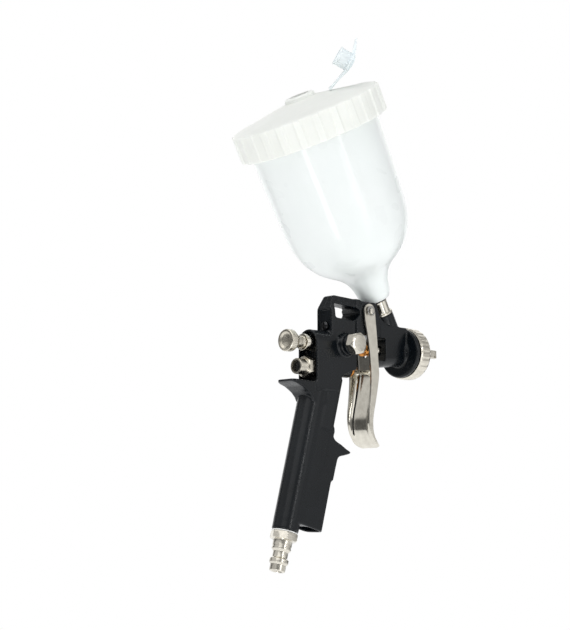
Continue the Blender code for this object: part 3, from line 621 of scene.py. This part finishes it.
# ---------------------------------------------------------------- trigger
def channel(line, half, radius):
    """Space inside the pressing: follows the web at its sheet thickness and rounds up into the arms."""
    sheet, thicker = 1.25, 1.1          # the web's thickness, and what it gains above the hollow
    rise_from, rise_over = -17.0, 2.2   # the height where it gains it
    far_back = -40.0
    steps = 14
    bm = bmesh.new()
    across = [half * (k / steps - 1) for k in range(2 * steps + 1)]
    front, behind = [], []
    last = len(line) - 1
    stations = []
    for i, (x, z) in enumerate(line):
        before, after = line[max(i - 1, 0)], line[min(i + 1, last)]
        along = (Vector(after) - Vector(before)).normalized()
        step = min(1.0, max(0.0, (z - rise_from) / rise_over))
        stations.append((x, z, along.y, -along.x, sheet + thicker * step * step * (3 - 2 * step)))
    x, z, nx, nz, depth = stations[-1]
    stations += [(x + 1.6, z - 1.6, nx, nz, depth), (x + 1.6, z - 9.0, -1.0, 0.0, depth)]
    x, z, nx, nz, depth = stations[0]
    stations.insert(0, (x, z + 14.0, -1.0, 0.0, depth))
    for x, z, nx, nz, depth in stations:
        near, far = [], []
        for y in across:
            side = max(0.0, abs(y) - (half - radius))
            reach = depth + radius - math.sqrt(max(0.0, radius * radius - side * side))
            near.append(bm.verts.new(((x + nx * reach) * MM, y * MM, (z + nz * reach) * MM)))
            far.append(bm.verts.new((far_back * MM, y * MM, (z + nz * reach) * MM)))
        front.append(near)
        behind.append(far)
    wide = len(across) - 1
    for i in range(len(stations) - 1):
        for k in range(wide):
            bm.faces.new((front[i][k], front[i][k + 1], front[i + 1][k + 1], front[i + 1][k]))
            bm.faces.new((behind[i][k], behind[i + 1][k], behind[i + 1][k + 1], behind[i][k + 1]))
        for k in (0, wide):
            bm.faces.new((front[i][k], front[i + 1][k], behind[i + 1][k], behind[i][k]))
    for i in (0, len(stations) - 1):
        for k in range(wide):
            bm.faces.new((front[i][k], behind[i][k], behind[i][k + 1], front[i][k + 1]))
    bmesh.ops.recalc_face_normals(bm, faces=bm.faces)
    return to_object("hollow", bm, GUN)


def make_trigger():
    """Outline between its front and rear lines, hollowed into a channel with a rounded lower lip."""
    front = [(-4.9, 24.4), (-4.4, 19.0), (-3.6, 12.0), (-2.8, 4.0), (-2.2, -5.5), (-1.5, -14.0), (-1.3, -18.4),
             (-2.8, -27.0), (-4.9, -36.5), (-6.8, -44.0), (-7.6, -50.0), (-7.2, -55.5), (-5.6, -60.0),
             (-3.0, -63.2), (0.4, -65.6)]
    back = [(-0.35, -66.7), (-2.7, -65.2), (-4.9, -63.1), (-7.3, -59.8), (-9.5, -56.0), (-11.0, -50.0),
            (-11.0, -43.0), (-10.0, -35.0), (-9.2, -26.5), (-8.9, -18.0), (-9.6, -8.0), (-11.0, 2.0), (-12.8, 11.0),
            (-14.4, 18.0), (-15.1, 24.4)]
    fore, aft = spline(front, 5), spline(back, 5)
    top = arc(-10.0, 24.4, 5.1, 174, 6, 18)
    outer = prism("trigger", fore + aft + top, -10.3, 10.3, GUN, round_by=2.2, only=set(range(2, len(fore))))
    hollow = channel(fore, 9.0, 4.5)
    above = block("above", (-30.0, -9.0, 6.4), (20.0, 9.0, 40.0), GUN)
    slot = prism("slot", fillet([(-2.0, -6.2), (2.0, -6.2), (2.0, 8.0), (-2.0, 8.0)], [1.95, 1.95, 0, 0], 6),
                 -30.0, 20.0, ALONG_X, False)
    lip = fillet([(-10.4, -66.9), (10.4, -66.9), (10.4, 40.0), (-10.4, 40.0)], [5.5, 5.5, 0, 0], 10)
    carve(outer, [prism("lip", lip, -40.0, 30.0, ALONG_X, False)], 'INTERSECT')
    carve(outer, [hollow])
    carve(outer, [above, slot, rod("hole", 2.15, -12.0, 12.0, TRIG, 48)])
    done(outer, "trigger_pressing", STEEL, "trigger", ["trigger"], 32)


make_trigger()
done(lathe("pin", [(0, 12.9), (1.5, 12.9), (1.95, 12.5), (1.95, 11.95), (1.5, 11.95), (1.5, 10.85), (1.95, 10.85),
                   (1.95, -10.7), (3.4, -10.7), (3.4, -12.0), (2.6, -12.6), (0, -12.6)], TRIG, 48, 0.12),
     "pivot_pin", NICKEL, "gun", ["trigger_pin"])
clip_line = [(3.5 * math.cos(rad(a)), 3.5 * math.sin(rad(a))) for a in range(-60, 241, 6)] \
    + [(1.72 * math.cos(rad(a)), 1.72 * math.sin(rad(a))) for a in range(234, -55, -8)]
done(prism("clip", clip_line, 11.12, 11.68, TRIG, False, 0.1), "pivot_clip", WIRE, "gun",
     ["trigger_clip"])

# ---------------------------------------------------------------- needle train and adjusters
done(lathe("needle", [(0, 46.2), (0.35, 45.8), (1.55, 38.0), (1.55, -14.1), (1.9, -14.4), (1.9, -33.2),
                      (2.9, -33.2), (2.9, -35.0), (1.6, -35.0), (1.6, -45.0), (0, -45.0)], SPRAY, 40, 0.1),
     "needle_rod", NICKEL, "needle", ["fluid_needle"])
done(lathe("collar", [(5.0, -4.8), (5.0, -7.0), (3.8, -7.6), (3.8, -13.7), (1.8, -13.7), (1.8, -4.8)], SPRAY, 56,
           0.2, True), "needle_sleeve", BRASS, "needle", ["needle_collar"])
done(lathe("nut", [(1.9, 11.2), (3.2, 11.2), (3.2, 7.6), (3.1, 6.6), (2.6, 5.8), (1.9, 5.6)], SPRAY, 48, 0.2,
           True), "packing_screw", NICKEL, "gun", ["packing_nut"])
done(lathe("bush", tube_profile(5.45, 4.55, -64.0, -53.2), SPRAY, 64, 0.2, True), "knob_bush", NICKEL, "gun",
     ["knob_bushing"])


def knob_shape(r, z, a):
    """Straight knurl on the knob's rim."""
    teeth, depth = 40, 0.10
    if 7.0 < r and -78.7 < z < -74.3:
        return r - depth * (0.5 + 0.5 * math.cos(teeth * a))
    return r


done(lathe("knob", [(0, -57.4), (4.2, -57.4), (4.2, -64.6), (3.9, -65.0), (3.9, -67.6), (4.2, -68.0), (4.2, -70.4),
                    (5.0, -71.8), (6.6, -73.4), (7.2, -74.4), (7.2, -78.6), (6.7, -79.1), (5.6, -78.9),
                    (4.2, -78.2), (1.6, -77.7), (0, -77.6)], SPRAY, 160, 0.3, shape=knob_shape),
     "fluid_knob_turned", KNOB, "fluid_knob", ["fluid_knob"])


def make_valve_cap():
    cap = lathe("cap", [(0, -50.2), (5.1, -50.2), (5.1, -57.6), (6.9, -57.6), (7.4, -58.2), (7.4, -61.4),
                        (6.7, -62.6), (5.5, -63.4), (5.2, -63.9), (5.2, -69.2), (4.9, -69.6), (0, -69.6)], VALVE, 96,
                0.25)
    keep = carve(rod("k", 5.6, -75.0, -45.0, VALVE), [hex_prism("k", 12.8, -63.2, -57.0, VALVE)], 'UNION')
    carve(cap, [keep], 'INTERSECT')
    carve(cap, [lathe("c", [(0, -48.0), (4.2, -48.0), (4.2, -58.6), (0, -58.6)], VALVE, 48, 0),
                lathe("c", [(0, -65.0), (3.7, -65.0), (3.7, -69.0), (4.1, -70.2), (0, -70.2)], VALVE, 64, 0)])
    done(cap, "valve_cap_turned", CAPTURN, "gun", ["air_valve_cap"], 30)
    # a black disc on the floor of the cap's socket, there to make the socket's end look dark
    done(lathe("plug", [(0, -65.5), (3.55, -65.5), (3.55, -66.8), (1.2, -66.8), (0.9, -66.2), (0, -66.2)], VALVE, 48,
               0.12), "valve_cap_dark_disc", RUBBER, "gun")


make_valve_cap()
done(lathe("gland", [(1.75, -18.4), (3.8, -18.4), (3.8, -20.2), (3.1, -20.2), (3.1, -24.6), (1.75, -24.6)], VALVE,
           48, 0.15, True), "stem_gland", BRASS, "gun", ["air_valve_gland"])
done(lathe("stem", [(0, -3.2), (1.2, -3.2), (1.5, -3.6), (1.5, -38.2), (0, -38.2)], VALVE, 36, 0.1), "valve_rod",
     NICKEL, "valve_stem", ["air_valve_stem"])

# pattern valve with its hexagonal head in a black collar
done(lathe("bush", tube_profile(7.3, 4.7, 12.7, 15.4), SIDE, 72, 0.5, True), "pattern_bush", BLACK, "gun",
     ["pattern_collar"])
pattern = lathe("pattern", [(0, 21.8), (5.4, 21.8), (6.6, 21.2), (7.7, 20.0), (7.7, 16.4), (7.3, 15.8), (4.2, 15.8),
                            (4.2, 6.0), (2.6, 4.6), (0, 4.6)], SIDE, 96, 0.35)
hexed = carve(rod("k", 4.6, 0.0, 16.4, SIDE), [hex_prism("k", 13.4, 15.2, 25.0, SIDE, 12)], 'UNION')
carve(pattern, [hexed], 'INTERSECT')
done(pattern, "pattern_valve_hex", NICKEL, "pattern_valve", ["pattern_valve"], 30)

# ---------------------------------------------------------------- nozzle and air cap
done(lathe("nozzle", [(0.75, 46.6), (1.5, 46.6), (2.6, 42.0), (4.6, 41.2), (7.4, 41.2), (7.4, 38.0), (4.9, 38.0),
                      (4.9, 26.2), (2.0, 26.2), (2.0, 37.5), (1.95, 40.0), (0.75, 45.4)], SPRAY, 64, 0.12, True),
     "nozzle_turned", NICKEL, "gun", ["fluid_nozzle"])


def ring_shape(r, z, a):
    """Scalloped grip on the retaining ring."""
    flutes, depth = 24, 0.42
    if r > 17.2 and 35.9 < z < 43.2:
        return r - depth * max(0.0, math.cos(flutes * a)) ** 0.8
    return r


done(lathe("ring", [(12.95, 44.6), (16.6, 44.6), (17.3, 44.2), (18.0, 43.0), (18.0, 42.0), (18.0, 39.5), (18.0, 37.0),
                    (18.0, 36.1), (17.5, 35.0), (17.2, 34.5), (14.0, 34.5), (14.0, 42.4), (12.95, 43.4)], SPRAY,
           288, 0.15, True, ring_shape), "retaining_ring", RINGMAT, "air_cap_ring",
     ["air_cap_ring"])


def make_cap():
    cap = lathe("cap", [(1.9, 47.4), (9.0, 47.0), (12.0, 46.0), (12.6, 44.8), (12.6, 42.9), (13.5, 42.0),
                        (13.5, 36.8), (9.0, 36.8), (9.0, 43.0), (5.0, 44.0), (1.9, 45.6)], SPRAY, 120, 0.2, True)
    horns = []
    for side in (-1, 1):
        line = fillet([(43.9, side * 6.2), (43.9, side * 12.3), (52.5, side * 12.8), (56.6, side * 12.5),
                       (56.6, side * 10.8), (50.0, side * 7.2)], [0, 0, 0, 1.4, 1.4, 1.0], 6)
        horns.append(prism("h", line, -2.9, 2.9, GUN, False, 0.8))
    carve(cap, horns, 'UNION')
    holes = [rod("c", 0.7, -6.0, 6.0, frame_at(54.3, s * 10.0, 0, s * 55, 'X', GUN), 24) for s in (-1, 1)]
    holes += [rod("c", 0.45, 43.0, 50.0, frame_at(5.2 * s * math.cos(t), 5.2 * s * math.sin(t), 0, 0, 'Z', SPRAY), 16)
              for s in (-1, 1) for t in (0.6, -0.6)]
    carve(cap, holes)
    done(cap, "air_cap_turned", RINGMAT, "air_cap", ["air_cap"], 34)


make_cap()


# ---------------------------------------------------------------- cup and lid
def make_adapter():
    body = lathe("adapter", [(3.4, 51.0), (5.2, 51.0), (5.2, 39.6), (6.5, 39.4), (6.5, 30.9), (7.7, 30.7),
                             (7.7, 29.5), (5.1, 29.5), (5.1, 15.6), (3.4, 15.6)], CUPAX, 96, 0.2, True)
    flats = []
    for k in range(4):
        here = frame_at(0, 0, 0, 90 * k - 60, 'Z', CUPAX)
        flats.append(block("c", (5.75, -12, 31.8), (12, 12, 38.4), here))
        flats.append(block("c", (3.9, -1.5, 32.2), (12, 1.5, 38.0), here))
    carve(body, flats)
    done(body, "cup_adapter_turned", NICKEL, "gun", ["cup_adapter"], 30)


make_adapter()
done(lathe("gasket", tube_profile(7.1, 5.5, 39.75, 40.3), CUPAX, 64, 0.1, True), "neck_gasket", RUBBER, "gun",
     ["cup_gasket"])

cup_out = spline([(44.6, 161.0), (44.1, 140.0), (43.4, 118.0), (42.7, 104.0), (41.6, 94.6), (39.6, 86.8), (36.4, 79.6),
                  (31.6, 73.0), (25.6, 67.6), (19.6, 63.2), (15.4, 58.4), (13.1, 53.4), (12.1, 49.4),
                  (11.5, 45.4)], 5)
cup_in = spline([(8.6, 58.6), (12.0, 62.4), (17.8, 66.2), (23.8, 70.2), (29.8, 75.4), (34.4, 81.4), (37.7, 88.2),
                 (39.8, 95.6), (41.0, 104.6), (41.8, 118.0), (42.3, 140.0), (42.6, 161.0)], 5)
done(lathe("cup", [(44.4, 175.4), (44.6, 174.8)] + cup_out + [(10.2, 42.6), (9.0, 40.9), (8.4, 40.6), (5.6, 40.6),
                                                              (5.5, 41.0), (5.5, 55.0)]
           + cup_in + [(42.6, 175.0), (42.8, 175.4)], CUPAX, 160, 0, True),
     "paint_cup", MILK, "cup", ["cup"], 50)
done(lathe("strainer", [(4.7, 78.0), (4.7, 51.6), (3.9, 51.6), (3.9, 76.8), (3.2, 78.0)], CUPAX, 48, 0.15, True),
     "strainer_tube", LIDMAT, "cup", ["paint_strainer"])

RIBS = 26


def lid_shape(r, z, a):
    """Ribs round the skirt, each a low flat-topped bar."""
    height, flank = 0.88, 0.26
    if r > 50.4 and z < 179.7:
        wave = 0.5 + 0.5 * math.cos(RIBS * (a - math.pi / RIBS))
        bar = min(1.0, max(0.0, (wave - 0.50) / flank))
        return r + height * bar * bar * (3 - 2 * bar)
    return r


lid_profile = [(0, 190.6), (9.4, 190.2), (10.4, 189.4), (10.7, 187.3), (14.0, 186.7), (24.0, 185.0),
               (40.0, 182.0), (47.0, 180.9), (49.6, 180.4), (50.5, 180.1), (50.95, 179.6), (51.0, 178.6),
               (51.0, 172.0), (51.0, 166.0), (51.0, 162.0), (50.6, 161.4), (45.2, 161.4), (45.2, 177.4),
               (40.0, 178.4), (24.0, 181.4), (0, 184.0)]
lid = lathe("lid", lid_profile, CUPAX, RIBS * 18, 0.3, shape=lid_shape)
carve(lid, [rod("hole", 6.9, 175.0, 200.0, CUPAX, 64)])
done(lid, "screw_lid", LIDMAT, "lid", ["lid"], 40)
done(lathe("seal", tube_profile(44.4, 41.4, 175.75, 177.0), CUPAX, 120, 0.2, True), "lid_seal_ring", LIDMAT,
     "lid_seal", ["lid_seal"])


def make_vent_plug():
    upper = spline([(-0.9, 0.5), (3.8, 2.6), (8.0, 5.0), (12.8, 7.6), (16.9, 10.6), (19.8, 13.8), (22.4, 17.7),
                    (27.2, 24.8)], 6)
    lower = spline([(28.0, 24.3), (24.3, 16.6), (21.8, 11.8), (18.3, 8.4), (13.6, 5.7), (8.5, 3.6), (4.4, 1.4),
                    (0.6, -0.8)], 6)
    strap = prism("strap", upper + lower + [(-0.9, -0.8)], -3.6, 3.6, VENT)
    side = fillet([(-2.0, -3.55), (9.0, -3.0), (13.0, -3.5), (22.0, -3.5), (28.8, -2.6), (28.8, 2.6), (22.0, 3.5),
                   (13.0, 3.5), (9.0, 3.0), (-2.0, 3.55)], [0, 3, 3, 4, 2.4, 2.4, 4, 3, 3, 0], 5)
    carve(strap, [prism("plan", side, -10.0, 40.0, VENT, False)], 'INTERSECT')
    thimble = lathe("thimble", [(0, 0.9), (5.2, 0.9), (5.2, 10.0), (6.3, 10.0), (6.5, 9.7), (6.5, 8.9), (6.1, 8.2),
                                (6.1, 1.0), (7.3, 1.0), (7.3, -0.3), (0, -0.3)], PLUGAX, 72, 0.1)
    plug = mould(join("plug", [strap, thimble]), 0.2, 2)
    done(plug, "vent_plug_moulded", PLUGMAT, "vent_plug", ["vent_plug"], 60)


make_vent_plug()

screw = lathe("screw", [(0, -31.0), (2.1, -31.0), (2.1, -42.5), (3.0, -42.5), (3.0, -43.4), (2.0, -44.2),
                        (0, -44.3)], SCREWAX, 48, 0.15)
carve(screw, [block("c", (-0.45, -3.5, -46.0), (0.45, 3.5, -43.5), SCREWAX),
              block("c", (-3.5, -0.45, -46.0), (3.5, 0.45, -43.5), SCREWAX)])
done(screw, "recess_screw", DARKSCREW, "gun", ["loop_screw"], 30)

for node, mat in (("needle_packing", PTFE), ("needle_spring", WIRE), ("spring_seat", BRASS), ("air_baffle", BRASS),
                  ("air_valve_spring", WIRE), ("air_valve_poppet", BRASS), ("air_valve_seat", RUBBER)):
    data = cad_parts[node].data
    data.materials.clear()
    data.materials.append(mat)


# ---------------------------------------------------------------- stage
def make_floor():
    """Pale round floor below the gun, bright enough to meet the white background."""
    bm = bmesh.new()
    bmesh.ops.create_circle(bm, cap_ends=True, segments=96, radius=3.0)
    floor = to_object("floor", bm, Matrix.Translation((0, 0, -0.62)))
    p = Paint("pale_floor", Roughness=0.9)
    p.colour(p.ramp(p.noise(3.0, 2.0), (0.0, 0.93), (1.0, 0.95)))
    p.bsdf.inputs["Emission Color"].default_value = (1, 1, 1, 1)
    p.bsdf.inputs["Emission Strength"].default_value = 0.20
    floor.data.materials.append(p.mat)


# What polished metal reflects: grey by compass direction, from -X round through -Y, +X and +Y
WALLS_LOW = ((0.0, 0.35), (0.07, 0.24), (0.13, 0.20), (0.20, 0.55), (0.28, 0.68), (0.34, 0.74), (0.42, 0.62),
             (0.47, 0.22), (0.53, 0.16), (0.60, 0.55), (0.66, 0.70), (0.75, 0.45), (0.82, 0.20), (0.88, 0.12),
             (1.0, 0.35))
WALLS_HIGH = ((0.0, 0.75), (0.20, 0.60), (0.34, 0.70), (0.47, 0.35), (0.60, 0.55), (0.70, 0.65), (0.755, 0.20),
              (0.80, 0.12), (0.835, 0.60), (0.88, 0.85), (1.0, 0.75))
RISE_FROM, RISE_TO = 0.20, 0.32     # height in the sky where the low walls give way to the high ones


def make_world():
    """White to the camera, light and dark walls to reflections, and even light to everything else."""
    world = bpy.data.worlds.new("studio")
    world.use_nodes = True
    bpy.context.scene.world = world
    tree = world.node_tree
    tree.nodes.clear()
    link = tree.links.new

    def node(kind, **inputs):
        made = tree.nodes.new(kind)
        for key, value in inputs.items():
            made.inputs[key.replace("_", " ")].default_value = value
        return made

    coord = node("ShaderNodeTexCoord")
    split = node("ShaderNodeSeparateXYZ")
    compass = node("ShaderNodeMath")
    compass.operation = 'ARCTAN2'
    turn = node("ShaderNodeMapRange", From_Min=-math.pi, From_Max=math.pi)
    rise = node("ShaderNodeMapRange", From_Min=RISE_FROM, From_Max=RISE_TO)
    rise.interpolation_type = 'SMOOTHSTEP'
    blend = node("ShaderNodeMix")
    blend.data_type = 'RGBA'
    link(coord.outputs["Generated"], split.inputs[0])
    link(split.outputs["Y"], compass.inputs[0])
    link(split.outputs["X"], compass.inputs[1])
    link(compass.outputs[0], turn.inputs["Value"])
    link(split.outputs["Z"], rise.inputs["Value"])
    link(rise.outputs["Result"], blend.inputs["Factor"])
    colour_a, colour_b, colour_out = 6, 7, 2        # the colour sockets of a Mix node
    for stops, socket in ((WALLS_LOW, colour_a), (WALLS_HIGH, colour_b)):
        ramp = node("ShaderNodeValToRGB")
        set_stops(ramp, stops)
        link(turn.outputs["Result"], ramp.inputs["Fac"])
        link(ramp.outputs["Color"], blend.inputs[socket])

    walls = node("ShaderNodeBackground", Strength=0.9)
    link(blend.outputs[colour_out], walls.inputs["Color"])
    even = node("ShaderNodeBackground", Color=(0.97, 0.985, 1.0, 1), Strength=0.66)
    seen = node("ShaderNodeBackground", Color=(1, 1, 1, 1), Strength=1.0)
    path = node("ShaderNodeLightPath")
    gloss = node("ShaderNodeMixShader")
    mix = node("ShaderNodeMixShader")
    link(path.outputs["Is Glossy Ray"], gloss.inputs["Fac"])
    link(even.outputs[0], gloss.inputs[1])
    link(walls.outputs[0], gloss.inputs[2])
    link(path.outputs["Is Camera Ray"], mix.inputs["Fac"])
    link(gloss.outputs[0], mix.inputs[1])
    link(seen.outputs[0], mix.inputs[2])
    link(mix.outputs[0], node("ShaderNodeOutputWorld").inputs["Surface"])


def soft_light(name, centre, target, size_x, size_y, watts, along=(0, 0, 1)):
    """Rectangular light at centre that faces target, with its size_y side lying along a direction."""
    data = bpy.data.lights.new(name, 'AREA')
    data.shape = 'RECTANGLE'
    data.size, data.size_y = size_x, size_y
    data.energy = watts
    obj = bpy.data.objects.new(name, data)
    back = (Vector(centre) - Vector(target)).normalized()
    side = Vector(along).cross(back).normalized()
    up = back.cross(side)
    turn = Matrix((side, up, back)).transposed().to_4x4()
    obj.matrix_world = Matrix.Translation(centre) @ turn
    obj.visible_camera = False
    bpy.context.scene.collection.objects.link(obj)


make_floor()
make_world()
CENTRE = (-0.013, 0.0, -0.005)
soft_light("key", (-1.5, -0.9, 1.3), CENTRE, 1.7, 1.7, 7.0)
soft_light("top", (-1.11, 0.10, 1.90), CENTRE, 2.0, 2.0, 15.0)
soft_light("fill", (0.9, -1.6, 0.5), CENTRE, 1.0, 1.2, 2.0)
soft_light("front", (1.5, 0.6, 0.7), CENTRE, 1.2, 1.2, 3.6)
soft_light("far_side", (0.5, 1.8, 0.6), CENTRE, 1.4, 1.4, 4.0)
# strips that draw the highlights on the cup's two flanks and on the handle
soft_light("strip_left", (-0.491, -0.225, -0.415), (-0.039, -0.022, 0.066), 0.10, 0.29, 0.50,
           (0.199, 0.002, -0.21))
soft_light("strip_right", (-0.037, -0.687, -0.171), (-0.026, -0.038, 0.074), 0.16, 0.24, 0.26,
           (0.151, 0.048, -0.178))
soft_light("strip_handle", (-0.013, -0.714, 0.130), (-0.038, -0.005, -0.100), 0.05, 0.42, 0.55,
           (0.267, 0, 0.964))

CAMERA_AT = (-0.6669, -0.6394, -0.1368)
CAMERA_SIDE, CAMERA_UP, CAMERA_BACK = (0.7193, -0.6947, 0.0), (-0.0967, -0.1001, 0.9903), (-0.6879, -0.7123, -0.1392)
cam_data = bpy.data.cameras.new("camera")
cam_data.lens = 79.83
cam_data.sensor_width = 36.0
cam_data.clip_end = 100.0
camera = bpy.data.objects.new("camera", cam_data)
bpy.context.scene.collection.objects.link(camera)
turn = Matrix((CAMERA_SIDE, CAMERA_UP, CAMERA_BACK)).transposed().to_4x4()
camera.matrix_world = Matrix.Translation(CAMERA_AT) @ turn
bpy.context.scene.camera = camera
bpy.context.scene.view_settings.view_transform = 'Standard'
